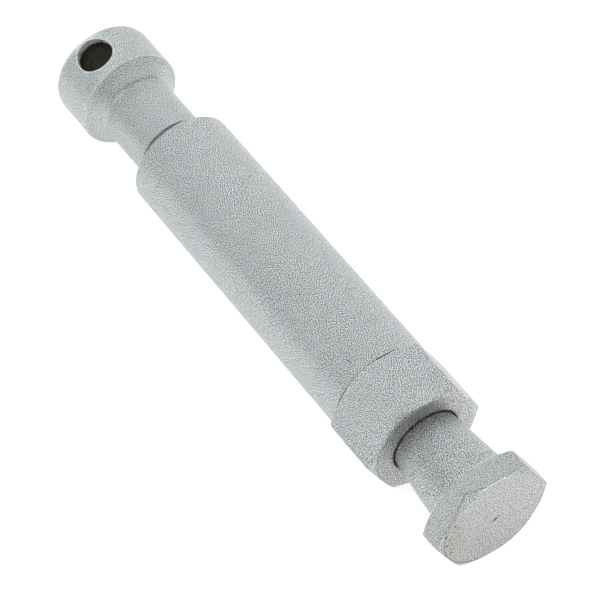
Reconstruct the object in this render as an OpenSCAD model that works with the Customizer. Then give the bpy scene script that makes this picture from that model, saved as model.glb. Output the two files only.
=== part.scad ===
// Spring-loaded shank of a carpet knee kicker.
// The shank lies along X with its hexagon head at +X, resting on the flats of its two hexagons.
// The origin is on the axis, half way along the whole length. Threads are drawn as plain cylinders.

/* [Barrel] */
// Outer diameter of the barrel
barrel_d = 18.9; // [18:0.1:19]
// Length of the barrel
barrel_len = 60.5; // [56:0.5:70]
// Rounding of the barrel's far edge
barrel_round = 0.4; // [0.2:0.1:1]
// Diameter of the spring chamber inside the barrel
chamber_d = 14; // [14:0.1:14.2]
// Diameter of the socket that takes the gland nut
gland_socket_d = 15.7; // [15.5:0.1:16]
// Solid web between the spring chamber and the socket of the end fitting
web_len = 4; // [3:0.5:6]

/* [Hexagons] */
// Width across flats of the collar and of the head
hex_af = 19.05; // [19:0.01:20]
// Diameter at which the 30 degree corner chamfers start
hex_chamfer_d = 19.2; // [19.1:0.05:20]
// Length of the hexagon collar
collar_len = 11.6; // [10:0.1:14]
// Thickness of the hexagon head
head_len = 4.4; // [4:0.1:6]

/* [End fitting] */
// Diameter of the knob
knob_d = 18.8; // [17:0.1:18.9]
// Length of the knob at full diameter, with its rounded edge
knob_len = 10.45; // [9:0.05:12]
// Rounding of the knob's far edge
knob_round = 2.3; // [1:0.1:2.5]
// Length of the cone between knob and waist
shoulder_len = 2.45; // [2:0.05:3]
// Diameter of the waist
waist_d = 13.1; // [12.5:0.1:14]
// Length of the waist
waist_len = 11.85; // [10:0.05:15]
// Diameter of the thread relief beside the barrel
relief_d = 11.4; // [11:0.1:12]
// Width of the thread relief
relief_len = 2.6; // [1.5:0.05:3]
// Length of the slope from the waist down into the relief
relief_slope = 0.5; // [0.1:0.1:1]
// Diameter of the cross hole
hole_d = 6.35; // [5:0.05:6.5]
// Distance of the cross hole from the knob's far face
hole_from_end = 5; // [4.5:0.1:6]
// Tilt of the cross hole from upright
hole_tilt = 22; // [0:1:45]
// Thread diameter of the spigot that screws into the barrel
spigot_d = 12; // [12:0.1:12.5]
// Length of the spigot
spigot_len = 12; // [10:0.5:14]

/* [Plunger] */
// Diameter of the tapered neck at the collar's face
neck_root_d = 11.9; // [11.6:0.1:12.2]
// Diameter of the tapered neck at the back of the head
neck_head_d = 14.8; // [14.5:0.1:15.5]
// Length of the neck outside the collar
neck_len = 13.75; // [13:0.05:16]
// Fillet between the neck and the head
neck_fillet = 0.8; // [0.4:0.1:1]
// Diameter of the stem inside the gland nut
stem_d = 11; // [10.8:0.1:11]
// How far the plunger can be pushed in
stroke = 2.2; // [1.5:0.1:4.3]
// Extra travel left before the taper would wedge in its seat
seat_clearance = 0.2; // [0.2:0.05:0.4]

/* [Spring] */
// Wire diameter of the return spring
wire_d = 2; // [1.6:0.1:2]
// Mean diameter of the coil
coil_d = 11.6; // [11.4:0.1:11.6]
// Total number of turns
coil_turns = 6.5; // [5:0.5:7]

/* [Hidden] */

$fn = 96;
over = 1;                 // how far a cutter runs past its face, and the neck into the head
fit = 0.05;               // radial clearance of threads, running fits and end play

// Stations along X, from the knob's far face to the front of the head
total_len = knob_len + shoulder_len + waist_len + relief_len + barrel_len + collar_len
    + neck_len + head_len;
x_end = -total_len / 2;
x_shoulder = x_end + knob_len;
x_waist = x_shoulder + shoulder_len;
x_relief = x_waist + waist_len;
x_barrel = x_relief + relief_len;
x_collar = x_barrel + barrel_len;
x_face = x_collar + collar_len;
x_head = x_face + neck_len;
x_front = x_head + head_len;

// Inside of the barrel
x_spigot_end = x_barrel + spigot_len;
x_web = x_spigot_end + fit;
x_chamber = x_web + web_len;
gland_spigot_len = 9.8;
gland_socket_floor = 0.6;
x_gland_end = x_collar - gland_spigot_len;
x_gland_floor = x_gland_end - gland_socket_floor;

// Inside of the gland nut
bush_wall = 1.03;
bush_start = 0.5;         // recess of the bush behind the gland nut's end
bush_len = 11.5;
bush_bore_r = stem_d / 2 + fit;
bush_r = bush_bore_r + bush_wall;
bush_press = 0.02;
x_bush = x_gland_end + bush_start;
x_bush_end = x_bush + bush_len;
land_len = 0.5;
land_r = stem_d / 2 + 0.2;
wiper_len = 1.5;
wiper_r = 6.9;
groove_play = 0.05;
groove_r = wiper_r + 0.1;
x_wiper = x_bush_end + land_len;
x_groove_end = x_wiper + wiper_len + 2 * groove_play;
recess_r = 6.1;
seat_len = 5.7;
x_seat = x_face - seat_len;
mouth_chamfer = 0.1;

// Taper of the neck and of the seat that it meets at the end of the stroke
taper = (neck_head_d - neck_root_d) / 2 / neck_len;
taper_run = 1.8;          // length of the taper inside the collar at rest
x_stem = x_face - taper_run;
taper_end_r = neck_r(x_stem);
function neck_r(x) = neck_root_d / 2 + taper * (x - x_face);
function seat_r(x) = neck_r(x + stroke + seat_clearance);

// Point on the fillet under the head, from the neck at 0 degrees to the head's back at 90
function fillet_point(a) =
    [neck_r(x_head - neck_fillet) + neck_fillet * (1 - cos(a)), x_head - neck_fillet * (1 - sin(a))];

// Piston, stop washer, nut and thread on the inner end of the stem
stop_len = 1.5;
stop_bore_r = 5.9;
stop_rim_r = 6.9;
piston_len = 8.9;
piston_r = chamber_d / 2 - fit;
thread_r = 2.5;
ring_len = 2;
ring_depth = 0.95;
nut_af = 8;
nut_chamfer_r = 3.9;
nut_len = 4.5;
washer_len = 1;
washer_r = 4.6;
tip_len = 1.5;            // thread past the nut
x_stop = x_gland_end - stop_len;
x_piston_end = x_stop - fit;
x_piston = x_piston_end - piston_len;
x_ring = x_piston + piston_len / 2 - ring_len / 2;
x_washer = x_piston - fit - washer_len;
x_nut = x_washer - nut_len;
x_tip = x_nut - tip_len;

// Spring seat, bump stop and spring
seat_disc_len = 1.5;
seat_disc_r = chamber_d / 2 - 0.2;
seat_boss_len = 1.5;
seat_boss_r = 4.5;
seat_hole_r = 2;
stud_len = 2.4;
bump_r = 3.6;
bump_gap = 0.1;
x_seat_top = x_chamber + seat_disc_len;
x_boss_top = x_seat_top + seat_boss_len;
x_bump_top = x_tip - stroke - bump_gap;
spring_len = x_piston - x_seat_top;
wire_rise = 0.2;          // height of the wire's centre above a ground end
closed_pitch = wire_d + 0.1;
wire_sides = 10;
steps_per_turn = 20;
coil_steps = coil_turns * steps_per_turn;

// Solids stand on their local Z, which along_x lays along X from the station given
module along_x(x) {
    translate([x, 0, 0])
        rotate([0, 90, 0])
            children();
}

module rod(x0, x1, r) {
    along_x(x0)
        cylinder(h = x1 - x0, r = r);
}

module cone(x0, x1, r0, r1) {
    along_x(x0)
        cylinder(h = x1 - x0, r1 = r0, r2 = r1);
}

module ring(x0, x1, r_in, r_out) {
    difference() {
        rod(x0, x1, r_out);
        rod(x0 - over, x1 + over, r_in);
    }
}

// Solid turned about X from its outline, given as [radius, x] points
module turned(outline) {
    along_x(0)
        rotate_extrude()
            polygon(outline);
}

// Rod from x0 to x1 with its edge at x0 rounded
module round_rod(x0, x1, r, edge) {
    along_x(x0)
        rotate_extrude()
            union() {
                square([r - edge, x1 - x0]);
                translate([0, edge])
                    square([r, x1 - x0 - edge]);
                translate([r - edge, edge])
                    intersection() {
                        circle(edge);
                        translate([0, -edge])
                            square(edge);
                    }
            }
}

// Hexagon with flats up and down, its corners chamfered at 30 degrees by two cones
module hexagon(x0, x1, af, chamfer_r) {
    len = x1 - x0;
    middle_r = chamfer_r + len / 2 / tan(30);
    intersection() {
        along_x(x0)
            rotate([0, 0, 30])
                cylinder(h = len, r = af / 2 / cos(30), $fn = 6);
        along_x(x0)
            rotate_extrude()
                polygon([[0, 0], [chamfer_r, 0], [middle_r, len / 2], [chamfer_r, len], [0, len]]);
    }
}

// Knob, waist, thread relief and spigot in one turned piece, drilled across
module end_fitting() {
    color([0.74, 0.76, 0.77])
        difference() {
            union() {
                round_rod(x_end, x_shoulder, knob_d / 2, knob_round);
                cone(x_shoulder, x_waist, knob_d / 2, waist_d / 2);
                rod(x_waist, x_relief, waist_d / 2);
                cone(x_relief, x_relief + relief_slope, waist_d / 2, relief_d / 2);
                rod(x_relief, x_barrel, relief_d / 2);
                rod(x_barrel, x_spigot_end, spigot_d / 2);
            }
            translate([x_end + hole_from_end, 0, 0])
                rotate([hole_tilt, 0, 0])
                    cylinder(h = knob_d + 2 * over, d = hole_d, center = true);
        }
}

// Plain round body with a socket at each end and the spring chamber between
module barrel() {
    color([0.74, 0.77, 0.78])
        difference() {
            round_rod(x_barrel, x_collar, barrel_d / 2, barrel_round);
            rod(x_barrel - over, x_web, spigot_d / 2 + fit);
            rod(x_chamber, x_collar + over, chamber_d / 2);
            rod(x_gland_floor, x_collar + over, gland_socket_d / 2);
        }
}

// Hexagon collar with a spigot into the barrel and a tapered mouth for the plunger
module gland_nut() {
    color([0.73, 0.76, 0.77])
        difference() {
            union() {
                hexagon(x_collar, x_face, hex_af, hex_chamfer_d / 2);
                rod(x_gland_end, x_collar, gland_socket_d / 2 - fit);
            }
            rod(x_gland_end - over, x_bush_end, bush_r);
            rod(x_gland_end, x_seat, land_r);
            rod(x_wiper, x_groove_end, groove_r);
            rod(x_groove_end, x_seat, recess_r);
            cone(x_seat, x_face, seat_r(x_seat), seat_r(x_face));
            cone(x_face - mouth_chamfer, x_face + over, seat_r(x_face),
                seat_r(x_face) + mouth_chamfer + over);
        }
}

// Hexagon head, tapered neck and stem, with a thread for the nut at the inner end
module plunger() {
    stem_r = stem_d / 2;
    color([0.75, 0.77, 0.77])
        union() {
            hexagon(x_head, x_front, hex_af, hex_chamfer_d / 2);
            turned(concat(
                [
                    [0, x_tip],
                    [thread_r, x_tip],
                    [thread_r, x_stop],
                    [stem_r, x_stop],
                    [stem_r, x_stem - (taper_end_r - stem_r)],
                    [taper_end_r, x_stem]
                ],
                [for (a = [0:15:90]) fillet_point(a)],
                [
                    [fillet_point(90)[0], x_head + over],
                    [0, x_head + over]
                ]
            ));
        }
}

module guide_bush() {
    color([0.72, 0.55, 0.3])
        ring(x_bush, x_bush_end, bush_bore_r, bush_r - bush_press);
}

module wiper_ring() {
    color([0.1, 0.1, 0.11])
        ring(x_wiper + groove_play, x_wiper + groove_play + wiper_len, bush_bore_r, wiper_r);
}

module stop_washer() {
    color([0.12, 0.12, 0.13])
        ring(x_stop, x_gland_end, stop_bore_r, stop_rim_r);
}

// Sliding guide on the stem's inner end, grooved for its ring
module guide_piston() {
    color([0.55, 0.56, 0.57])
        difference() {
            rod(x_piston, x_piston_end, piston_r);
            rod(x_piston - over, x_piston_end + over, thread_r + fit);
            ring(x_ring, x_ring + ring_len, piston_r - ring_depth, piston_r + over);
        }
}

module piston_ring() {
    color([0.2, 0.2, 0.2])
        ring(x_ring + fit, x_ring + ring_len - fit, piston_r - ring_depth + fit, piston_r);
}

module stem_washer() {
    color([0.7, 0.71, 0.72])
        ring(x_washer, x_washer + washer_len, thread_r + fit, washer_r);
}

module stem_nut() {
    color([0.7, 0.71, 0.72])
        difference() {
            hexagon(x_nut, x_washer, nut_af, nut_chamfer_r);
            rod(x_nut - over, x_washer + over, thread_r + fit);
        }
}

// Height of the wire's centre after u turns: closed end turns, even pitch between
function coil_rise(u) =
    u < 1 ? wire_rise + closed_pitch * u
    : u > coil_turns - 1 ? spring_len - wire_rise - closed_pitch * (coil_turns - u)
    : wire_rise + closed_pitch
        + (spring_len - 2 * wire_rise - 2 * closed_pitch) * (u - 1) / (coil_turns - 2);

function wire_point(step, side) =
    let (
        u = step / steps_per_turn,
        turn = 360 * u,
        around = 360 * side / wire_sides,
        r = coil_d / 2 + wire_d / 2 * cos(around)
    )
    [r * cos(turn), r * sin(turn), coil_rise(u) + wire_d / 2 * sin(around)];

// Compression spring with closed ends ground flat
module return_spring() {
    points = [for (step = [0:coil_steps], side = [0:wire_sides - 1]) wire_point(step, side)];
    sides = [
        for (step = [0:coil_steps - 1], side = [0:wire_sides - 1])
            let (next = (side + 1) % wire_sides, base = step * wire_sides)
                [base + side, base + next, base + wire_sides + next, base + wire_sides + side]
    ];
    start_cap = [for (side = [wire_sides - 1:-1:0]) side];
    end_cap = [for (side = [0:wire_sides - 1]) coil_steps * wire_sides + side];
    color([0.45, 0.46, 0.48])
        along_x(x_seat_top)
            intersection() {
                polyhedron(concat(points), concat(sides, [start_cap], [end_cap]), convexity = 12);
                cylinder(h = spring_len, r = coil_d);
            }
}

// Disc with a boss that centres the spring and holds the bump stop
module spring_seat() {
    color([0.6, 0.61, 0.62])
        difference() {
            union() {
                rod(x_chamber, x_seat_top, seat_disc_r);
                rod(x_seat_top, x_boss_top, seat_boss_r);
            }
            rod(x_boss_top - stud_len, x_boss_top + over, seat_hole_r);
        }
}

module bump_stop() {
    color([0.1, 0.1, 0.1])
        union() {
            rod(x_boss_top, x_bump_top, bump_r);
            rod(x_boss_top - stud_len + fit, x_boss_top, seat_hole_r - fit);
        }
}

end_fitting();
barrel();
gland_nut();
plunger();
guide_bush();
wiper_ring();
stop_washer();
guide_piston();
piston_ring();
stem_washer();
stem_nut();
return_spring();
spring_seat();
bump_stop();
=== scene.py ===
"""Looks of the knee kicker shank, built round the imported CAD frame.

Lengths are in millimetres until a mesh is made. X runs along the shank, +X to the hexagon head, +Z up.
"""

import math

import bpy
import numpy as np
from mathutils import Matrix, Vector

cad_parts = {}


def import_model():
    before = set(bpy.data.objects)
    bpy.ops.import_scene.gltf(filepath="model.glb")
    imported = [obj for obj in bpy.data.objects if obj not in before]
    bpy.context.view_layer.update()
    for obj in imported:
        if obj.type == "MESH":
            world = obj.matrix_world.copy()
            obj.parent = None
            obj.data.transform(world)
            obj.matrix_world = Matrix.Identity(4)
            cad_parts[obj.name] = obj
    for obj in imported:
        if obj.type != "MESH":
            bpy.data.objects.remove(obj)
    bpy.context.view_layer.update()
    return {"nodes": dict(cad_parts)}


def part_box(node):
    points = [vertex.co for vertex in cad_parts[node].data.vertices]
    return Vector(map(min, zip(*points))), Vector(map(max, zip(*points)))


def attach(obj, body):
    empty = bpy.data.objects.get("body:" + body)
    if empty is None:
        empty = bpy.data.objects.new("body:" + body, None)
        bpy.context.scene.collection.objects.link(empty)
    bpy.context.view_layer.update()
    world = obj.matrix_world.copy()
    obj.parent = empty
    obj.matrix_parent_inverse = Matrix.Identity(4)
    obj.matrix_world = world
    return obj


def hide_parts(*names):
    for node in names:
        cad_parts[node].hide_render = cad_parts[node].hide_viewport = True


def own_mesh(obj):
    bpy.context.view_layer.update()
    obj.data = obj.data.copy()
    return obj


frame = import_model()
MM = 0.001


def span(node):
    """Where a CAD node starts and ends along X."""
    low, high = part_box(node)
    return low.x / MM, high.x / MM


# Stations along the axis, from the CAD nodes
X_END, X_SPIGOT = span("end_fitting")
X_BARREL, X_COLLAR = span("barrel")
X_GLAND, X_FACE = span("gland_nut")
X_TIP, X_FRONT = span("plunger")
X_SPRING0, X_SPRING1 = span("return_spring")
FLOOR_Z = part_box("gland_nut")[0].z / MM

# Collar and head: both hexagons have the same size and the same chamfer cone
ACROSS_FLATS = 19.05
CHAMFER_R = 9.6
CHAMFER_ANGLE = math.radians(30)
CORNER_STEP = math.radians(60)
EDGE_ROUNDING = 0.07
HALVINGS = 40

# Knob, its shoulder and waist, and the cross hole
KNOB_R = 9.4
KNOB_ROUND = 2.3
X_SHOULDER = X_END + 10.45
X_WAIST = X_SHOULDER + 2.45
HOLE_R = 3.175
HOLE_X = X_END + 5.0
HOLE_TILT = math.radians(22)
HOLE_AXIS = (0, -math.sin(HOLE_TILT), math.cos(HOLE_TILT))

# Barrel, and the neck that tapers from the head down to the collar's mouth
BARREL_R = 9.45
HEAD_LEN = 4.4
X_HEAD = X_FRONT - HEAD_LEN
NECK_LEN = X_HEAD - X_FACE
NECK_R0, NECK_R1 = 5.95, 7.4
TAPER = (NECK_R1 - NECK_R0) / NECK_LEN
STROKE = 2.2
MOUTH_R = NECK_R0 + TAPER * (STROKE + 0.2)


# ---------------------------------------------------------------- mesh helpers


def make_object(name, points, faces, body, materials, pick=None):
    """Mesh object from points in mm and index faces. pick gives each face's material number."""
    points = np.asarray(points, float)
    used = np.zeros(len(points), bool)
    for f in faces:
        used[list(f)] = True
    number = np.cumsum(used) - 1
    faces = [tuple(int(number[i]) for i in f) for f in faces]
    mesh = bpy.data.meshes.new(name)
    mesh.from_pydata((points[used] * MM).tolist(), [], faces)
    mesh.validate()
    for m in materials:
        mesh.materials.append(m)
    if pick is not None:
        mesh.polygons.foreach_set("material_index", np.asarray(pick, np.int32))
    mesh.polygons.foreach_set("use_smooth", np.ones(len(mesh.polygons), bool))
    mesh.update()
    obj = bpy.data.objects.new(name, mesh)
    bpy.context.scene.collection.objects.link(obj)
    bpy.context.view_layer.objects.active = obj
    for o in bpy.context.selected_objects:
        o.select_set(False)
    obj.select_set(True)
    bpy.ops.object.mode_set(mode="EDIT")
    bpy.ops.mesh.select_all(action="SELECT")
    bpy.ops.mesh.normals_make_consistent(inside=False)
    bpy.ops.object.mode_set(mode="OBJECT")
    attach(obj, body)
    return obj


def rounded(corners, closed=False, support=0.06):
    """Polyline with its corners rounded. A corner is (x, r) or (x, r, radius)."""
    corner_share, support_share = 0.45, 0.49
    degrees_per_step = 11
    out = []
    n = len(corners)
    for i, corner in enumerate(corners):
        p = np.array(corner[:2], float)
        radius = corner[2] if len(corner) > 2 else 0
        if radius == 0 or (not closed and i in (0, n - 1)):
            out.append(tuple(p))
            continue
        a = np.array(corners[i - 1][:2], float) - p
        b = np.array(corners[(i + 1) % n][:2], float) - p
        la, lb = np.linalg.norm(a), np.linalg.norm(b)
        a, b = a / la, b / lb
        half = math.acos(max(-1, min(1, float(a @ b)))) / 2
        back = min(radius / math.tan(half), corner_share * la, corner_share * lb)
        radius = back * math.tan(half)
        centre = p + (a + b) / np.linalg.norm(a + b) * radius / math.sin(half)
        start, end = p + a * back, p + b * back
        if back + support < support_share * la:
            out.append(tuple(p + a * (back + support)))
        u, v = start - centre, end - centre
        turn = math.acos(max(-1, min(1, float(u @ v) / radius**2)))
        steps = max(3, math.ceil(math.degrees(turn) / degrees_per_step))
        for k in range(steps + 1):
            t = k / steps
            w = (math.sin((1 - t) * turn) * u + math.sin(t * turn) * v) / math.sin(turn)
            out.append(tuple(centre + w))
        if back + support < support_share * lb:
            out.append(tuple(p + b * (back + support)))
    return out


def grid_faces(rows, columns, wrap_rows=False, skip=None):
    """Quads of a grid whose columns run right round."""
    faces = []
    for j in range(rows if wrap_rows else rows - 1):
        jn = (j + 1) % rows
        for i in range(columns):
            if skip is not None and skip(j, i):
                continue
            k = (i + 1) % columns
            faces.append((j * columns + i, j * columns + k, jn * columns + k, jn * columns + i))
    return faces


def close_ends(points, faces, x_first, x_last, rows, columns):
    """Fans from a point on the axis to the first row and to the last row of a grid."""
    centre = len(points)
    points += [np.array([x_first, 0, 0]), np.array([x_last, 0, 0])]
    base = (rows - 1) * columns
    faces += [(centre, (i + 1) % columns, i) for i in range(columns)]
    faces += [(centre + 1, base + i, base + (i + 1) % columns) for i in range(columns)]


def ring_points(rows, angles):
    """Points of rows round the X axis. A row is (x, r), each a number or one value per angle."""
    c, s = np.cos(angles), np.sin(angles)
    out = []
    for x, r in rows:
        x = np.broadcast_to(np.asarray(x, float), c.shape)
        r = np.broadcast_to(np.asarray(r, float), c.shape)
        out.append(np.stack([x, r * c, r * s], 1))
    return np.concatenate(out)


def round_angles(n):
    return np.arange(n) * 2 * math.pi / n


def hex_angles():
    """Angles round the axis, closer together at the hexagon's corners, which lie at 0, 60, 120 degrees."""
    half = [0, 0.15, 0.32, 0.52, 0.8, 1.2, 1.8, 2.6, 3.8, 5.5, 7.5, 10, 12.5, 15, 17.5, 20, 22.5, 25, 27.5]
    around = [60 * k + a for k in range(6) for a in half + [30] + [60 - h for h in half[:0:-1]]]
    return np.radians(np.array(around))


def ring_solid(name, rows, angles, body, material):
    """Closed solid whose rows run right round its section."""
    points = ring_points(rows, angles)
    faces = grid_faces(len(rows), len(angles), wrap_rows=True)
    return make_object(name, points, faces, body, [material])


# ---------------------------------------------------------------- hexagon with rounded edges


def soft_max(values, k):
    """The largest of several values, blended smoothly where two of them are closer than about k."""
    top = np.max(values, axis=0)
    return top + k * np.log(np.sum(np.exp((values - top) / k), axis=0))


def hex_level(x, r, angle, x0, x1):
    """Level function of a chamfered hexagon between x0 and x1: below 0 inside, with rounded edges."""
    middles = [math.radians(30 + 60 * i) for i in range(6)]
    flats = [r * np.cos(angle - middle) - ACROSS_FLATS / 2 for middle in middles]
    c, s = math.cos(CHAMFER_ANGLE), math.sin(CHAMFER_ANGLE)
    cones = [(x - x1) * c + (r - CHAMFER_R) * s, (x0 - x) * c + (r - CHAMFER_R) * s]
    ends = [x - x1 + 0 * r, x0 - x + 0 * r]
    return soft_max(np.array(flats + cones + ends), EDGE_ROUNDING)


def surface(level_at, low, high):
    """Closes in on the place between low and high where level_at turns from below 0 to above."""
    for _ in range(HALVINGS):
        mid = (low + high) / 2
        inside = level_at(mid) < 0
        low = np.where(inside, mid, low)
        high = np.where(inside, high, mid)
    return low


def hex_rows(x0, x1, angles, inner0, inner1):
    """Rows over a hexagon, from radius inner1 on face x1, over its edges and sides, to inner0 on face x0."""
    across = np.cos(np.abs(angles % CORNER_STEP - CORNER_STEP / 2))
    corner_r = ACROSS_FLATS / 2 / across
    middle = (x0 + x1) / 2
    face_r = 8.6
    rows = [(x1, inner1)]
    for r in np.linspace(inner1, face_r, 5)[1:]:
        rows.append((x1, r))
    near = edge_rows(x1, 1, angles, corner_r, x0, x1)
    rows += near
    rows.append((middle, near[-1][1]))
    far = edge_rows(x0, -1, angles, corner_r, x0, x1)
    rows += far[::-1]
    if inner0 < face_r - 0.1:
        rows.append((x0, (face_r + inner0) / 2))
    rows.append((x0, inner0))
    return rows


def edge_rows(face_x, sign, angles, corner_r, x0, x1):
    """Rows from the flat of one end face, over the chamfer, on to the side."""
    start = np.minimum(CHAMFER_R, corner_r)
    run = np.maximum(0, corner_r - CHAMFER_R)
    slope = math.tan(CHAMFER_ANGLE)
    spread = np.maximum(0, 2 * EDGE_ROUNDING - run / 2)

    # places on the sharp hexagon, as (depth behind the face, radius), closer together at its edges
    targets = []
    for back in (0.55, 0.4, 0.28, 0.18, 0.1, 0.04):
        targets.append((np.zeros_like(run), start - spread - back))
    for t in range(13):
        u = (1 - math.cos(math.pi * t / 12)) / 2
        r = (start - spread) * (1 - u) + np.where(run > 0, start + run, start) * u
        depth = (run * slope) * u + spread * u
        targets.append((depth, np.minimum(r, corner_r)))
    for ahead in (0.04, 0.1, 0.18, 0.28, 0.4, 0.6):
        targets.append((run * slope + spread + ahead, corner_r))

    # each is found on the rounded surface, along a line from a point inside the edge
    heart_depth, heart_r = 1.9, 7.4
    side_depth, side_low, side_high = 1.8, 5.0, 13.0
    heart_x = face_x - sign * heart_depth
    side_x = face_x - sign * side_depth
    out = []
    for depth, r in targets:
        dx, dr = (face_x - sign * depth) - heart_x, r - heart_r

        def along(t, dx=dx, dr=dr):
            return hex_level(heart_x + dx * t, heart_r + dr * t, angles, x0, x1)

        reach = surface(along, np.zeros_like(run), np.full_like(run, 1.6))
        out.append((heart_x + dx * reach, heart_r + dr * reach))
    low_r, high_r = np.full_like(run, side_low), np.full_like(run, side_high)
    out.append((side_x, surface(lambda r: hex_level(side_x, r, angles, x0, x1), low_r, high_r)))
    return out


# ---------------------------------------------------------------- materials


class Shade:
    """A node material under construction."""

    def __init__(self, name, metallic=0.0, roughness=0.5):
        self.material = bpy.data.materials.new(name)
        self.material.use_nodes = True
        self.tree = self.material.node_tree
        self.tree.nodes.clear()
        self.output = self.tree.nodes.new("ShaderNodeOutputMaterial")
        self.shader = self.tree.nodes.new("ShaderNodeBsdfPrincipled")
        self.shader.inputs["Metallic"].default_value = metallic
        self.shader.inputs["Roughness"].default_value = roughness
        self.link(self.shader.outputs[0], self.output.inputs["Surface"])
        self.place = self.tree.nodes.new("ShaderNodeTexCoord").outputs["Object"]

    def link(self, a, b):
        self.tree.links.new(a, b)

    def put(self, socket, value):
        if isinstance(value, bpy.types.NodeSocket):
            self.link(value, socket)
        elif value is not None:
            socket.default_value = value

    def math(self, operation, a, b=None, c=None):
        node = self.tree.nodes.new("ShaderNodeMath")
        node.operation = operation
        for socket, value in zip(node.inputs, (a, b, c)):
            self.put(socket, value)
        return node.outputs[0]

    def vector(self, operation, a, b=None, scale=None):
        node = self.tree.nodes.new("ShaderNodeVectorMath")
        node.operation = operation
        self.put(node.inputs[0], a)
        if b is not None:
            self.put(node.inputs[1], b)
        if scale is not None:
            self.put(node.inputs["Scale"], scale)
        return node.outputs["Value"] if operation in ("DOT_PRODUCT", "LENGTH") else node.outputs[0]

    def noise(self, size_mm, detail=2.0, rough=0.5, shift=(0, 0, 0), place=None, stretch=None):
        """Noise whose patches are about size_mm across, around 0.5."""
        place = self.place if place is None else place
        if stretch is not None:
            place = self.vector("MULTIPLY", place, stretch)
        if any(shift):
            place = self.vector("ADD", place, shift)
        node = self.tree.nodes.new("ShaderNodeTexNoise")
        node.inputs["Scale"].default_value = 1 / (size_mm * MM)
        node.inputs["Detail"].default_value = detail
        node.inputs["Roughness"].default_value = rough
        self.link(place, node.inputs["Vector"])
        return node.outputs["Fac"]

    def turned(self, vector):
        """A vector turned to a slant, so that no flat face lies along the noise's own grid."""
        node = self.tree.nodes.new("ShaderNodeMapping")
        node.inputs["Rotation"].default_value = (0.6, 0.9, 0.4)
        self.link(vector, node.inputs["Vector"])
        return node.outputs["Vector"]

    def crisp(self, size_mm, shift, place):
        """Noise with its light and dark drawn apart."""
        return self.ramp(self.noise(size_mm, 0.0, 0.5, shift, place), 0.25, 0.75)

    def speckle(self, size_mm, step_mm, shift):
        """Crisp grain, and the same less its mean at four places a step away along the surface."""
        place = self.turned(self.place)
        normal = self.turned(self.tree.nodes.new("ShaderNodeTexCoord").outputs["Normal"])
        any_slant = (0.31, 0.52, 0.8)
        along = self.vector("NORMALIZE", self.vector("CROSS_PRODUCT", normal, any_slant))
        across = self.vector("CROSS_PRODUCT", normal, along)
        grain = self.crisp(size_mm, shift, place)
        even = grain
        for direction in (along, across):
            for step in (step_mm * MM, -step_mm * MM):
                beside = self.vector("ADD", place, self.vector("SCALE", direction, scale=step))
                even = self.math("MULTIPLY_ADD", self.crisp(size_mm, shift, beside), -1 / 4, even)
        return grain, even

    def ramp(self, value, low, high, start=0.0, end=1.0):
        """start at low, end at high, smooth between."""
        node = self.tree.nodes.new("ShaderNodeMapRange")
        node.interpolation_type = "SMOOTHSTEP"
        self.put(node.inputs["Value"], value)
        node.inputs["From Min"].default_value = low
        node.inputs["From Max"].default_value = high
        node.inputs["To Min"].default_value = start
        node.inputs["To Max"].default_value = end
        return node.outputs["Result"]

    def rise(self, length, low, high):
        """0 where a length is below low, 1 above high; low and high in mm."""
        return self.ramp(length, low * MM, high * MM)

    def drop(self, length, low, high):
        """1 where a length is below low, 0 above high; low and high in mm."""
        return self.math("SUBTRACT", 1.0, self.rise(length, low, high))

    def band(self, length, low, high, end_low, end_high):
        """1 from high to end_low, fading out to 0 at low and end_high; all in mm."""
        return self.math("SUBTRACT", self.rise(length, low, high), self.rise(length, end_low, end_high))

    def vary(self, base, noise, amount):
        """base, plus noise taken round 0 times amount."""
        return self.math("MULTIPLY_ADD", self.math("SUBTRACT", noise, 0.5), amount, base)

    def shaded(self, level, mask, amount):
        """level, brighter by amount where mask is 1, or darker where amount is below 0."""
        return self.math("MULTIPLY", level, self.math("MULTIPLY_ADD", mask, amount, 1.0))

    def calmer(self, level, mask, amount):
        """Draws the grain towards even where mask is 1, or away from it where amount is below 0."""
        grain = self.math("SUBTRACT", level, 1.0)
        share = self.math("MULTIPLY", mask, amount)
        return self.math("SUBTRACT", level, self.math("MULTIPLY", grain, share))

    def mix(self, factor, a, b):
        node = self.tree.nodes.new("ShaderNodeMix")
        node.data_type = "RGBA"
        self.put(node.inputs["Factor"], factor)
        self.put(node.inputs["A"], a if isinstance(a, bpy.types.NodeSocket) else (*a, 1))
        self.put(node.inputs["B"], b if isinstance(b, bpy.types.NodeSocket) else (*b, 1))
        return node.outputs["Result"]

    def scale_colour(self, colour, factor):
        """Colour times a number that varies over the surface."""
        return self.vector("SCALE", colour, scale=factor)

    def bump(self, height, distance_mm, strength):
        node = self.tree.nodes.new("ShaderNodeBump")
        node.inputs["Distance"].default_value = distance_mm * MM
        node.inputs["Strength"].default_value = strength
        self.put(node.inputs["Height"], height)
        return node.outputs["Normal"]

    def axes(self):
        node = self.tree.nodes.new("ShaderNodeSeparateXYZ")
        self.link(self.place, node.inputs[0])
        return node.outputs

    def axis_distance(self):
        return self.vector("LENGTH", self.vector("MULTIPLY", self.place, (0, 1, 1)))

    def blob(self, centre_mm, radii_mm, soft, wobble, amount):
        """1 inside an ellipsoid about a point, fading to 0 outside; wobble roughens its edge."""
        away = self.vector("SUBTRACT", self.place, Vector(centre_mm) * MM)
        away = self.vector("DIVIDE", away, Vector(radii_mm) * MM)
        reach = self.vary(self.vector("LENGTH", away), wobble, amount)
        return self.ramp(reach, 1 - soft, 1 + soft, 1.0, 0.0)

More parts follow.
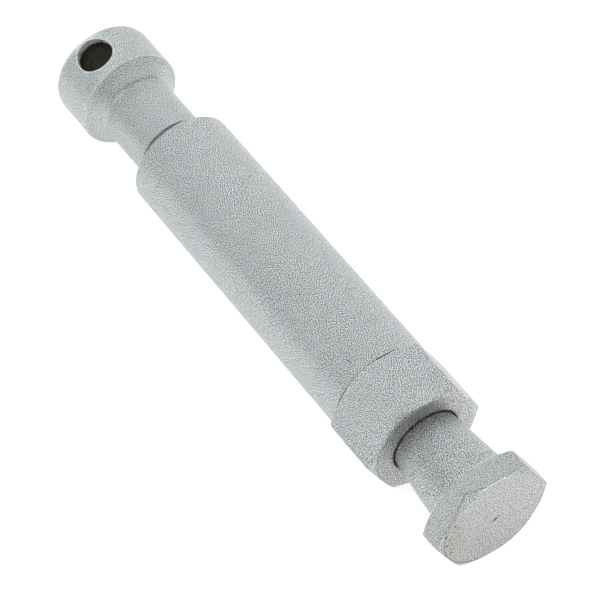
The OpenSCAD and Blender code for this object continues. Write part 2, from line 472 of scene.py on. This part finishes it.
    def chamfer(self, x, radius, face_x, low=-0.12, high=-0.04):
        """1 on the chamfer round the face at face_x, 0 on the sides behind it."""
        past = self.math("MULTIPLY", self.math("SUBTRACT", x, face_x * MM), math.cos(CHAMFER_ANGLE))
        cone = self.math("SUBTRACT", radius, CHAMFER_R * MM)
        cone = self.math("MULTIPLY_ADD", cone, 0.5, past)
        return self.rise(cone, low, high)

    def done(self, colour, normal, roughness=None):
        self.put(self.shader.inputs["Base Color"], colour)
        if roughness is not None:
            self.put(self.shader.inputs["Roughness"], roughness)
        self.link(normal, self.shader.inputs["Normal"])
        return self.material


STEEL = (0.400, 0.428, 0.430)
PLUNGER_STEEL = (0.398, 0.42, 0.424)
COOL = (-0.015, 0.004, 0.012)
WARM = (0.022, -0.003, -0.01)
GRAIN_SIZE, GRAIN_STEP = 0.14, 0.2
CRUMB_SIZE, CLOUD_SIZE, HUE_SIZE = 0.47, 3.2, 4.2
STAIN_TINT = (0.35, 0.335, 0.305)
HEAD_FACE_TINT = (0.402, 0.411, 0.406)
HEAD_CHAMFER_TINT = (0.402, 0.426, 0.43)
NECK_SHADE_TINT = (0.4, 0.405, 0.395)
COLLAR_FACE_TINT = (0.402, 0.396, 0.384)
COLLAR_CHAMFER_TINT = (0.42, 0.413, 0.425)
DENT = -1.5


def blasted(name, marks, seed=0, grain=1.0, colour=STEEL, hue_span=1.0):
    """Grit-blasted steel: crisp fine grain, soft mottling, faint warm and cool patches, and its own marks."""
    roughness = 0.45
    even_share, cloud_share, crumb_share, rough_share = 1.1, 0.03, 0.25, 0.1
    bump_depth, bump_strength = 0.006, 0.5
    s = Shade(name, metallic=1.0, roughness=roughness)
    shift = (0.0137 + 0.0413 * seed, 0.0071 - 0.0207 * seed, 0.0033 + 0.0111 * seed)
    fine, even = s.speckle(GRAIN_SIZE, GRAIN_STEP, shift)
    crumb = s.noise(CRUMB_SIZE, 1.0, 0.5, shift)
    cloud = s.noise(CLOUD_SIZE, 2.0, 0.5, shift)
    hue = s.noise(HUE_SIZE, 1.0, 0.5, (shift[1], shift[2], shift[0]))
    level = s.math("MULTIPLY_ADD", even, even_share * grain, 1.0)
    level = s.vary(level, fine, grain)
    level = s.vary(level, cloud, cloud_share)
    cool = tuple(c * (1 + hue_span * k) for c, k in zip(colour, COOL))
    warm = tuple(c * (1 + hue_span * k) for c, k in zip(colour, WARM))
    tint = s.mix(s.ramp(hue, 0.3, 0.7), cool, warm)
    height = s.math("MULTIPLY_ADD", crumb, crumb_share, fine)
    tint, level, height = marks(s, tint, level, height)
    normal = s.bump(height, bump_depth, bump_strength)
    return s.done(s.scale_colour(tint, level), normal, s.vary(roughness, fine, rough_share))


def head_marks(s, tint, level, height):
    """Head and neck: stain, pits and nick on the front face, painted highlights and shade at the edges,
    painted shade beside the collar.
    """
    ring_pitch, ring_strength, mottle_strength = 0.55, 0.02, 0.14
    pit_shade, nick_shade = -0.72, -0.9
    radius = s.axis_distance()
    x, y, z = s.axes()
    slant = s.chamfer(x, radius, X_FRONT)
    face = s.rise(x, X_FRONT - 0.1, X_FRONT - 0.03)
    front = s.math("MAXIMUM", face, slant)
    head = s.rise(x, X_HEAD - 0.3, X_HEAD + 0.1)
    tint = head_tint(s, tint, face, front)
    rings = s.math("SINE", s.math("MULTIPLY", radius, 2 * math.pi / (ring_pitch * MM)))
    where = s.ramp(s.noise(3.5, 2.0, 0.5, (0, 0.4, 0)), 0.45, 0.7)
    rings = s.math("MULTIPLY", s.math("MULTIPLY", rings, where), face)
    level = s.math("MULTIPLY_ADD", rings, ring_strength, level)
    # the head is rubbed smoother than the neck, and its front less so than its sides
    level = s.calmer(level, s.math("MULTIPLY_ADD", front, -0.55, head), 0.4)
    mottle = s.math("SUBTRACT", s.noise(0.9, 2.0, 0.6, (0, 0.03, 0)), 0.5)
    level = s.math("MULTIPLY_ADD", s.math("MULTIPLY", mottle, front), mottle_strength, level)
    level = head_edges(s, level, x, y, z, radius, slant, face, front, head)
    for y_mm, z_mm, size in PITS:
        pit = s.blob((X_FRONT, y_mm, z_mm), (size * 1.5, size, size), 0.5, s.noise(0.3, 1.0, 0.5), 1.2)
        level = s.shaded(level, pit, pit_shade)
        height = s.math("MULTIPLY_ADD", pit, DENT, height)
    nick = head_nick(s, front)
    level = s.shaded(level, nick, nick_shade)
    height = s.math("MULTIPLY_ADD", nick, DENT, height)
    return *neck_marks(s, tint, level, x, head), height


# Pits round the stain on the head's front face: y, z and size
PITS = [
    (-9.1, 1.9, 0.26), (-8.85, -0.55, 0.26), (-7.5, 3.6, 0.24),
    (-8.0, -3.0, 0.24), (-6.9, 2.6, 0.15), (-8.4, 0.8, 0.16),
]


def head_tint(s, tint, face, front):
    """Colours of the head's face and chamfer, with a brown stain by one edge."""
    wobble = s.noise(1.6, 3.0, 0.6, (0.2, 0, 0))
    stain = s.blob((X_FRONT, -7.6, -0.2), (2.2, 1.5, 4.6), 0.6, wobble, 1.6)
    stain = s.math("MULTIPLY", s.math("MULTIPLY", stain, front), 0.6)
    tint = s.mix(face, tint, HEAD_FACE_TINT)
    tint = s.mix(s.math("SUBTRACT", front, face), tint, HEAD_CHAMFER_TINT)
    return s.mix(stain, tint, STAIN_TINT)


def head_edges(s, level, x, y, z, radius, slant, face, front, head):
    """Painted shade on the line behind the head's chamfer, a painted highlight along its top, painted shade
    on the low side of its rim, a painted highlight on the back edge.
    """
    # painted shade on the line behind the chamfer, strongest on the left
    line = s.math("SUBTRACT", s.chamfer(x, radius, X_FRONT, -0.3, -0.12), slant)
    left = s.math("MULTIPLY_ADD", s.rise(y, -4.5, -2.0), -0.75, 1.0)
    level = s.shaded(level, s.math("MULTIPLY", line, left), -0.24)
    # painted highlight along the top of the chamfer
    top = s.math("MULTIPLY", s.rise(z, 8.4, 9.2), s.rise(y, -5.5, -4.6))
    top_highlight = s.math("SUBTRACT", s.chamfer(x, radius, X_FRONT, -0.24, -0.12), slant)
    level = s.shaded(level, s.math("MULTIPLY", top_highlight, top), 0.45)
    level = s.shaded(level, s.math("SUBTRACT", front, face), -0.09)
    # painted shade on the low side of the face's rim
    rim = s.math("MULTIPLY", s.rise(radius, 9.1, 9.5), face)
    level = s.shaded(level, s.math("MULTIPLY", rim, s.drop(z, -3, 1)), -0.25)
    # painted highlight on the head's back edge
    back_edge_highlight = s.math("SUBTRACT", head, s.rise(x, X_HEAD + 0.1, X_HEAD + 0.35))
    return s.shaded(level, s.math("MULTIPLY", back_edge_highlight, s.rise(radius, 8.6, 9.2)), 0.3)


def head_nick(s, front):
    """Mask of a slanted nick in the head's face, a little off its centre."""
    half_length, half_width = 0.75, 0.34
    away = s.vector("SUBTRACT", s.place, Vector((X_FRONT, 0.3, -0.52)) * MM)
    along = s.math("ABSOLUTE", s.vector("DOT_PRODUCT", away, Vector((0, 0.862, 0.507))))
    across = s.math("ABSOLUTE", s.vector("DOT_PRODUCT", away, Vector((0, -0.507, 0.862))))
    along = s.math("DIVIDE", along, half_length * MM)
    across = s.math("DIVIDE", across, half_width * MM)
    inside = s.math("SUBTRACT", 1.0, s.ramp(s.math("ADD", along, across), 0.6, 1.2))
    return s.math("MULTIPLY", inside, front)


def neck_marks(s, tint, level, x, head):
    """Painted shade and a broken band of painted highlight beside the collar, a darker neck and faint turning
    marks.
    """
    # painted shade on the neck next to the collar, with its tint
    collar_shade = s.drop(x, X_FACE + 0.5, X_FACE + 2.2)
    level = s.shaded(level, collar_shade, -0.06)
    level = s.calmer(level, collar_shade, -0.4)
    # painted highlight in a broken band just beside the collar
    collar_highlight = s.math("MULTIPLY", s.rise(x, X_FACE + 0.1, X_FACE + 0.22), s.drop(x, X_FACE + 0.4, X_FACE + 0.6))
    collar_highlight = s.math("MULTIPLY", collar_highlight, s.ramp(s.noise(0.8, 2.0, 0.6), 0.35, 0.6))
    level = s.shaded(level, collar_highlight, 1.1)
    level = s.shaded(level, s.math("SUBTRACT", 1.0, head), -0.05)
    tint = s.mix(s.math("MULTIPLY", collar_shade, 0.7), tint, NECK_SHADE_TINT)
    turning = s.math("SUBTRACT", s.noise(0.35, 2.0, 0.6, stretch=(1, 0.02, 0.02)), 0.5)
    neck = s.drop(x, X_HEAD - 0.4, X_HEAD)
    level = s.math("MULTIPLY_ADD", s.math("MULTIPLY", turning, neck), 0.3, level)
    return tint, level


def fitting_painted_light(s, tint, level, height):
    """Painted highlight round each mouth of the cross hole, a fainter pale zone further out, and painted
    light in bands at the shoulder and the waist.
    """
    away = s.vector("SUBTRACT", s.place, Vector((HOLE_X, 0, 0)) * MM)
    reach = s.vector("LENGTH", s.vector("CROSS_PRODUCT", away, HOLE_AXIS))
    # painted highlight round each mouth of the cross hole, and a fainter pale zone further out
    level = s.shaded(level, s.drop(reach, HOLE_R + 0.1, HOLE_R + 0.45), 0.3)
    level = s.shaded(level, s.drop(reach, HOLE_R + 0.6, HOLE_R + 3), 0.07)
    x = s.axes()[0]
    # painted light in bands at the shoulder and the waist
    shoulder = s.band(x, X_SHOULDER - 0.8, X_SHOULDER - 0.4, X_SHOULDER + 0.1, X_SHOULDER + 0.5)
    waist = s.band(x, X_WAIST - 1.8, X_WAIST - 1.1, X_WAIST + 0.2, X_WAIST + 1.0)
    level = s.shaded(level, shoulder, 0.13)
    return tint, s.shaded(level, waist, 0.08), height


def barrel_marks(s, tint, level, height):
    """A small dark scuff on the barrel, a little short of the collar."""
    x_spot, x_smear = 26.0, 24.6
    angle = math.radians(30.8)
    y, z = -BARREL_R * math.sin(angle), BARREL_R * math.cos(angle)
    wobble = s.noise(0.5, 2.0, 0.6)
    spot = s.blob((x_spot, y, z), (0.34, 0.2, 0.2), 0.7, wobble, 1.2)
    smear = s.blob((x_smear, y, z), (1.5, 0.22, 0.22), 0.9, wobble, 1.4)
    level = s.shaded(level, spot, -0.45)
    return tint, s.shaded(level, smear, -0.2), height


def mouth_marks_and_shade(s, tint, level, height):
    """Painted shade in an uneven ring at the collar's mouth, painted shade and highlight on the line behind
    the chamfer, faint painted light on the face; the chamfer is a little paler than the sides.
    """
    ring_r = 6.2
    x, y, _ = s.axes()
    radius = s.axis_distance()
    slant = s.chamfer(x, radius, X_FACE)
    behind = s.drop(x, X_FACE - 0.1, X_FACE - 0.04)
    face = s.math("SUBTRACT", 1.0, behind)
    pale = s.math("MULTIPLY", slant, behind)
    level = s.shaded(level, pale, 0.03)
    tint = s.mix(pale, tint, COLLAR_CHAMFER_TINT)
    tint = s.mix(s.math("MULTIPLY", s.drop(radius, ring_r, 9.6), face), tint, COLLAR_FACE_TINT)
    # the line behind the chamfer gets painted shade on one side and a painted highlight on the other
    line = s.math("SUBTRACT", s.chamfer(x, radius, X_FACE, -0.3, -0.12), slant)
    level = s.shaded(level, line, s.math("MULTIPLY_ADD", s.rise(y, -5.6, -4.9), 0.28, -0.15))
    level = s.calmer(level, face, -0.35)
    # painted shade in an uneven ring round the mouth, where the neck goes in
    uneven = s.vary(radius, s.noise(0.35, 2.0, 0.6), 1.8 * MM)
    front = s.rise(x, X_FACE - 0.6, X_FACE - 0.1)
    ring = s.math("MULTIPLY", s.drop(uneven, ring_r, 6.65), front)
    level = s.shaded(level, ring, -0.55)
    # faint painted light over the rest of the collar's face
    face_light = s.math("MULTIPLY", s.drop(uneven, ring_r, 9.0), front)
    return tint, s.shaded(level, face_light, 0.04), height


def plain_metal(name, colour, roughness, grain_mm, seed, stretch=None):
    """Machined metal: fine grain, directional where it is stretched, and a slight stain."""
    s = Shade(name, metallic=1.0, roughness=roughness)
    fine = s.noise(grain_mm, 3.0, 0.6, (seed, 0, 0), stretch=stretch)
    stain = s.noise(2.5, 2.0, 0.5, (0, seed, 0.1))
    level = s.vary(1.0, fine, 0.35)
    level = s.vary(level, stain, 0.25)
    rough = s.vary(roughness, fine, 0.25)
    return s.done(s.scale_colour(colour, level), s.bump(fine, 0.01, 0.6), rough)


def rubber_like(name, colour, roughness, seed=0.0):
    """Moulded rubber or plastic: dull, dusty, finely pebbled."""
    s = Shade(name, metallic=0.0, roughness=roughness)
    fine = s.noise(0.22, 3.0, 0.6, (seed, 0, 0))
    dust = s.noise(1.4, 3.0, 0.6, (0, 0, seed))
    level = s.vary(1.0, fine, 0.3)
    level = s.math("MULTIPLY_ADD", s.ramp(dust, 0.5, 0.8), 0.7, level)
    rough = s.vary(roughness, dust, 0.3)
    return s.done(s.scale_colour(colour, level), s.bump(fine, 0.03, 0.6), rough)


def bore_steel():
    """Wall of the cross hole: pale at the mouth, raw drilled further in, with painted shade just inside each
    mouth that lightens towards the middle.
    """
    s = Shade("bore_steel", metallic=0.6, roughness=0.55)
    along = s.math("ABSOLUTE", s.vector("DOT_PRODUCT", s.place, HOLE_AXIS))
    from_axis = s.vary(along, s.noise(0.5, 2.0, 0.5), 0.8 * MM)
    mouth = s.rise(from_axis, 7.7, 8.4)
    grain = s.ramp(s.noise(0.22, 2.0, 0.6), 0.36, 0.64)
    score = s.noise(0.22, 1.0, 0.6, stretch=(1, 1, 2))
    # painted shade just inside each mouth, lighter towards the middle of the bore
    bore_shading = s.math("MULTIPLY_ADD", s.rise(from_axis, 4.5, 7.6), -1.1, 1.4)
    raw_colour, pale_colour = (0.32, 0.29, 0.235), (0.7, 0.72, 0.71)
    raw = s.scale_colour(raw_colour, s.math("MULTIPLY_ADD", s.ramp(score, 0.35, 0.7), 0.9, 0.1))
    raw = s.scale_colour(raw, bore_shading)
    pale = s.scale_colour(pale_colour, s.math("MULTIPLY_ADD", grain, 1.3, 0.3))
    return s.done(s.mix(mouth, raw, pale), s.bump(s.math("ADD", grain, score), 0.05, 0.8))


barrel_steel = blasted("blasted_barrel", barrel_marks)
collar_steel = blasted("blasted_collar", mouth_marks_and_shade, seed=1)
fitting_steel = blasted("blasted_fitting", fitting_painted_light, seed=2, grain=0.74, hue_span=0.5)
plunger_steel = blasted("blasted_plunger", head_marks, seed=3, colour=PLUNGER_STEEL, hue_span=0.4)
hole_steel = bore_steel()
bronze = plain_metal("bronze", (0.62, 0.42, 0.2), 0.35, 0.2, 0.3)
turned_steel = plain_metal("turned_steel", (0.42, 0.42, 0.43), 0.3, 0.12, 0.6, stretch=(4, 1, 1))
plated_steel = plain_metal("plated_steel", (0.6, 0.62, 0.64), 0.28, 0.25, 0.9)
spring_steel = plain_metal("spring_steel", (0.28, 0.28, 0.3), 0.32, 0.3, 1.2)
rubber = rubber_like("rubber", (0.02, 0.02, 0.021), 0.75)
ring_plastic = rubber_like("ring_plastic", (0.045, 0.043, 0.04), 0.5, 0.4)


# ---------------------------------------------------------------- end fitting with its cross hole

# Columns round the fitting, and the rectangle of its mesh that is left open for each mouth of the hole
COLUMNS = 240
PATCH_COLUMNS = 18
PATCH_STEPS = 2 * PATCH_COLUMNS
PATCH_HALF = 4.1
FILLET = 0.3


def knob_radius(x):
    """Radius of the knob at a station near the cross hole."""
    x = np.asarray(x, float)
    inside = np.clip(X_END + KNOB_ROUND - x, 0, KNOB_ROUND)
    return KNOB_R - KNOB_ROUND + np.sqrt(np.maximum(KNOB_ROUND**2 - inside**2, 0))


def fitting_rows():
    """Rows from the knob's face to the spigot's end, and the first and last row of the hole's rectangle."""
    x_low, x_high = HOLE_X - PATCH_HALF, HOLE_X + PATCH_HALF
    flat_r = KNOB_R - KNOB_ROUND
    rows = [(X_END, r) for r in (0.4, 2.0, 4.0, 6.0, flat_r - 0.5, flat_r - 0.15)]
    first_turn = math.asin((X_END + KNOB_ROUND - x_low) / KNOB_ROUND)
    for k in range(11):
        a = math.pi / 2 + (first_turn - math.pi / 2) * k / 10
        rows.append((X_END + KNOB_ROUND - KNOB_ROUND * math.sin(a), flat_r + KNOB_ROUND * math.cos(a)))
    first = len(rows) - 1
    for k in range(1, PATCH_STEPS + 1):
        x = x_low + 2 * PATCH_HALF * k / PATCH_STEPS
        rows.append((x, float(knob_radius(x))))
    last = len(rows) - 1
    waist_r, relief_r, spigot_r = 6.55, 5.7, 6.0
    x_relief = X_BARREL - 2.6
    tail = rounded([
        (x_high, KNOB_R), (X_SHOULDER, KNOB_R, 0.8), (X_WAIST, waist_r, 1.4), (x_relief, waist_r, 0.08),
        (x_relief + 0.5, relief_r, 0.1), (X_BARREL, relief_r, 0.1), (X_BARREL + 0.05, spigot_r, 0.1),
        (X_SPIGOT - 0.6, spigot_r, 0.1), (X_SPIGOT, spigot_r - 0.6, 0.1), (X_SPIGOT, 0)])
    return rows + tail[1:-1], first, last


def hole_rings(edge_u, edge_v):
    """Rings from the rectangle in to the hole's rim, over its fillet and down its wall to the middle.

    A ring is (u, v, height) along X, across and out from the axis. Also returns how many rings come
    before the wall.
    """
    around = np.arctan2(edge_v, edge_u)
    cu, cv = np.cos(around), np.sin(around)
    rim_r = HOLE_R + FILLET

    def height(u, v):
        return np.sqrt(np.maximum(knob_radius(HOLE_X + u) ** 2 - v**2, 0))

    rings = []
    for t in (0.18, 0.36, 0.54, 0.7, 0.83, 0.92, 0.97, 1.0):
        u = edge_u * (1 - t) + rim_r * cu * t
        v = edge_v * (1 - t) + rim_r * cv * t
        rings.append((u, v, height(u, v)))
    rim_h = height(rim_r * cu, rim_r * cv)
    step = 0.02
    slope = (rim_h - height((rim_r + step) * cu, (rim_r + step) * cv)) / step
    knee = rim_h + slope * FILLET
    wall_top = knee - FILLET
    for k in range(1, 9):
        t = k / 8
        r = (1 - t) ** 2 * rim_r + 2 * t * (1 - t) * HOLE_R + t**2 * HOLE_R
        h = (1 - t) ** 2 * rim_h + 2 * t * (1 - t) * knee + t**2 * wall_top
        rings.append((r * cu, r * cv, h))
    before_wall = len(rings)
    for t in (0.02, 0.06, 0.12, 0.2, 0.3, 0.42, 0.55, 0.7, 0.85, 1.0):
        rings.append((HOLE_R * cu, HOLE_R * cv, wall_top * (1 - t)))
    return rings, before_wall


def end_fitting():
    rows, first, last = fitting_rows()
    half_turn = COLUMNS // 2
    tilt = math.pi / 2 + HOLE_TILT
    points = list(ring_points(rows, round_angles(COLUMNS) + tilt))

    def in_patch(j, i):
        if not first <= j < last:
            return False
        near_top = i < PATCH_COLUMNS or i >= COLUMNS - PATCH_COLUMNS
        near_bottom = half_turn - PATCH_COLUMNS <= i < half_turn + PATCH_COLUMNS
        return near_top or near_bottom

    faces = grid_faces(len(rows), COLUMNS, False, in_patch)
    close_ends(points, faces, X_END, X_SPIGOT, len(rows), COLUMNS)
    kinds = [0] * len(faces)

    # the rectangle round the hole, as (row, column) going once round
    loop = [(first, i) for i in range(-PATCH_COLUMNS, PATCH_COLUMNS)]
    loop += [(first + k, PATCH_COLUMNS) for k in range(PATCH_STEPS)]
    loop += [(last, i) for i in range(PATCH_COLUMNS, -PATCH_COLUMNS, -1)]
    loop += [(last - k, -PATCH_COLUMNS) for k in range(PATCH_STEPS)]
    count = len(loop)
    edge_u = np.array([rows[j][0] - HOLE_X for j, i in loop])
    edge_v = np.array([rows[j][1] * math.sin(i * 2 * math.pi / COLUMNS) for j, i in loop])
    rings, before_wall = hole_rings(edge_u, edge_v)
    outward = np.array([0, math.cos(tilt), math.sin(tilt)])
    sideways = np.array([0, -math.sin(tilt), math.cos(tilt)])

    # one mouth and half of the wall on each side, meeting at the middle ring
    for side in (1, -1):
        previous = [j * COLUMNS + ((i if side == 1 else half_turn - i) % COLUMNS) for j, i in loop]
        for n, (u, v, h) in enumerate(rings):
            if side == -1 and n == len(rings) - 1:
                current = middle
            else:
                start = len(points)
                for a, b, c in zip(u, v, h):
                    points.append(np.array([HOLE_X + a, 0, 0]) + b * sideways + side * c * outward)
                current = list(range(start, start + count))
            for i in range(count):
                k = (i + 1) % count
                faces.append((previous[i], previous[k], current[k], current[i]))
                kinds.append(1 if n >= before_wall else 0)
            previous = current
        if side == 1:
            middle = current
    steels = [fitting_steel, hole_steel]
    obj = make_object("end_fitting_body", points, faces, "barrel_group", steels, kinds)
    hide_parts("end_fitting")


# ---------------------------------------------------------------- barrel, gland nut, plunger


def barrel():
    x_chamber = X_SPIGOT + 4.05
    x_wall = x_chamber - 4.0
    x_slot = X_COLLAR - 0.13
    x_socket = X_GLAND - 0.6
    spigot_r, chamber_r, socket_r, vent_r, slot_r = 6.05, 7.0, 7.85, 0.6, 9.0
    rows = rounded([
        (X_BARREL, spigot_r, 0.15), (X_BARREL, BARREL_R, 0.4), (x_slot, BARREL_R, 0.08),
        (x_slot, slot_r, 0.05), (X_COLLAR, slot_r), (X_COLLAR, socket_r, 0.1), (x_socket, socket_r, 0.1),
        (x_socket, chamber_r, 0.1), (x_chamber, chamber_r, 0.1), (x_chamber, vent_r), (x_wall, vent_r),
        (x_wall, spigot_r, 0.1)], closed=True)
    obj = ring_solid("barrel_body", rows, round_angles(240), "barrel_group", barrel_steel)
    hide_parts("barrel")


def gland_nut():
    angles = hex_angles()
    x_bush, x_ring0, x_ring1 = X_GLAND + 12.0, X_GLAND + 12.55, X_GLAND + 14.15
    spigot_r, bush_r, stem_r, ring_r, bore_r = 7.8, 6.58, 5.7, 7.0, 6.1
    cone = 5.7
    rows = hex_rows(X_COLLAR, X_FACE, angles, 8.1, MOUTH_R + 0.6)
    inner = rounded([
        (X_COLLAR, 8.1), (X_COLLAR, spigot_r, 0.1), (X_GLAND, spigot_r, 0.3), (X_GLAND, bush_r, 0.1),
        (x_bush, bush_r, 0.1), (x_bush, stem_r, 0.1), (x_ring0, stem_r, 0.1),
        (x_ring0, ring_r, 0.1), (x_ring1, ring_r, 0.1), (x_ring1, bore_r, 0.1),
        (X_FACE - cone, bore_r, 0.1), (X_FACE - cone, MOUTH_R - TAPER * cone, 0.1), (X_FACE, MOUTH_R, 0.1),
        (X_FACE, MOUTH_R + 0.6)])
    rows += inner[1:-1]
    obj = ring_solid("gland_nut_body", rows, angles, "barrel_group", collar_steel)
    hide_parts("gland_nut")


def plunger():
    angles = hex_angles()
    n = len(angles)
    fillet_start = NECK_R1 + 1.2
    rows = hex_rows(X_HEAD, X_FRONT, angles, fillet_start, 0.7)
    inside_collar = 1.8
    x_stem = X_FACE - inside_collar
    x_stop = X_GLAND - 1.5
    neck_end_r = NECK_R0 - TAPER * inside_collar
    stem_r, rod_r = 5.5, 2.5
    neck = rounded([
        (X_HEAD, fillet_start), (X_HEAD, NECK_R1, 0.9), (x_stem, neck_end_r, 0.2),
        (x_stem - neck_end_r + stem_r, stem_r, 0.2), (x_stop, stem_r, 0.15), (x_stop - 0.05, rod_r, 0.2),
        (X_TIP + 0.4, rod_r, 0.1), (X_TIP, rod_r - 0.4, 0.1), (X_TIP, 0)])
    rows += neck[1:-1]
    points = list(ring_points(rows, angles))
    faces = grid_faces(len(rows), n)
    close_ends(points, faces, X_FRONT, X_TIP, len(rows), n)
    obj = make_object("plunger_body", points, faces, "plunger_group", [plunger_steel])
    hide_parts("plunger")


def spring():
    """Wound spring with closed ends, ground flat."""
    turns, wire_r, coil_r = 6.5, 1.0, 5.8
    length = X_SPRING1 - X_SPRING0
    per_turn, sides = 48, 16
    steps = int(turns * per_turn)
    closed = 2.1
    free = length - 2 * wire_r - 2 * closed
    points, faces = [], []
    for k in range(steps + 1):
        u = k / per_turn
        if u < 1:
            h = wire_r + closed * u
        elif u > turns - 1:
            h = length - wire_r - closed * (turns - u)
        else:
            h = wire_r + closed + free * (u - 1) / (turns - 2)
        a = 2 * math.pi * u
        for m in range(sides):
            b = 2 * math.pi * m / sides
            r = coil_r + wire_r * math.cos(b)
            x = min(max(h + wire_r * math.sin(b), 0), length)
            points.append((X_SPRING0 + x, r * math.sin(a), -r * math.cos(a)))
    for k in range(steps):
        for m in range(sides):
            q, b, c = (m + 1) % sides, k * sides, (k + 1) * sides
            faces.append((b + m, b + q, c + q, c + m))
    faces.append(tuple(range(sides)))
    faces.append(tuple(steps * sides + m for m in range(sides))[::-1])
    obj = make_object("return_spring_coil", points, faces, "barrel_group", [spring_steel])
    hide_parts("return_spring")
    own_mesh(obj)


end_fitting()
barrel()
gland_nut()
plunger()
spring()

# The hidden pieces keep their CAD meshes
finishes = {
    "guide_bush": bronze, "wiper_ring": rubber, "stop_washer": rubber, "bump_stop": rubber,
    "guide_piston": turned_steel, "spring_seat": turned_steel, "piston_ring": ring_plastic,
    "stem_washer": plated_steel, "stem_nut": plated_steel,
}
for node, material in finishes.items():
    mesh = frame["nodes"][node].data
    mesh.materials.clear()
    mesh.materials.append(material)


# ---------------------------------------------------------------- floor, light, camera

# Soft lights: azimuth (0 from -Y, 90 from +X), elevation, strength
LIGHTS = [
    (0, 90, 0.05), (0, 55, 0.37), (180, 55, 0.13), (240, 55, 0.35), (300, 55, 0.15),
    (30, 15, 0.09), (90, 15, 0.41), (150, 15, 0.25), (210, 15, 0.44), (270, 15, 0.65), (330, 15, 0.2),
    (0, 32, 0.22), (60, 32, 0.04), (120, 32, 0.27), (240, 32, 0.19), (300, 32, 0.2),
]
LIGHT_WIDTH = 45
WORLD_STRENGTH = 0.344
FLOOR_GLOW = 0.59
FLOOR_HALF = 1500

# Camera, fitted to the outline in the photograph
CAMERA_AZIMUTH, CAMERA_ELEVATION = 56.27, 50.28
CAMERA_DISTANCE = 479.6
CAMERA_TARGET = (4.87, 0, -1.23)
CAMERA_LENS = 174.7


def direction(azimuth, elevation):
    """Unit vector from the object towards an azimuth and elevation in degrees."""
    a, e = math.radians(azimuth), math.radians(elevation)
    return Vector((math.sin(a) * math.cos(e), -math.cos(a) * math.cos(e), math.sin(e)))


def floor():
    h = FLOOR_HALF * MM
    z = FLOOR_Z * MM
    mesh = bpy.data.meshes.new("floor")
    mesh.from_pydata([(-h, -h, z), (h, -h, z), (h, h, z), (-h, h, z)], [], [(0, 1, 2, 3)])
    obj = bpy.data.objects.new("floor", mesh)
    bpy.context.scene.collection.objects.link(obj)
    s = Shade("floor_white", roughness=0.9)
    s.shader.inputs["Base Color"].default_value = (0.9, 0.9, 0.9, 1)
    s.shader.inputs["Emission Color"].default_value = (1, 1, 1, 1)
    s.shader.inputs["Emission Strength"].default_value = FLOOR_GLOW
    mesh.materials.append(s.material)


def soft_light(azimuth, elevation, strength):
    """A large soft box a long way off."""
    data = bpy.data.lights.new(f"soft_{azimuth}_{elevation}", "SUN")
    data.angle = math.radians(LIGHT_WIDTH)
    data.energy = strength
    obj = bpy.data.objects.new(data.name, data)
    bpy.context.scene.collection.objects.link(obj)
    obj.rotation_euler = direction(azimuth, elevation).to_track_quat("Z", "Y").to_euler()


def world():
    w = bpy.data.worlds.new("studio")
    bpy.context.scene.world = w
    w.use_nodes = True
    w.node_tree.nodes["Background"].inputs["Color"].default_value = (1, 1, 1, 1)
    w.node_tree.nodes["Background"].inputs["Strength"].default_value = WORLD_STRENGTH


def camera():
    back = direction(CAMERA_AZIMUTH, CAMERA_ELEVATION)
    data = bpy.data.cameras.new("camera")
    data.sensor_width = 36
    data.lens = CAMERA_LENS
    data.clip_start = 0.01
    obj = bpy.data.objects.new("camera", data)
    bpy.context.scene.collection.objects.link(obj)
    obj.location = Vector(CAMERA_TARGET) * MM + back * (CAMERA_DISTANCE * MM)
    obj.rotation_euler = (-back).to_track_quat("-Z", "Y").to_euler()
    bpy.context.scene.camera = obj


floor()
world()
for light in LIGHTS:
    soft_light(*light)
camera()
bpy.context.scene.view_settings.view_transform = "Standard"
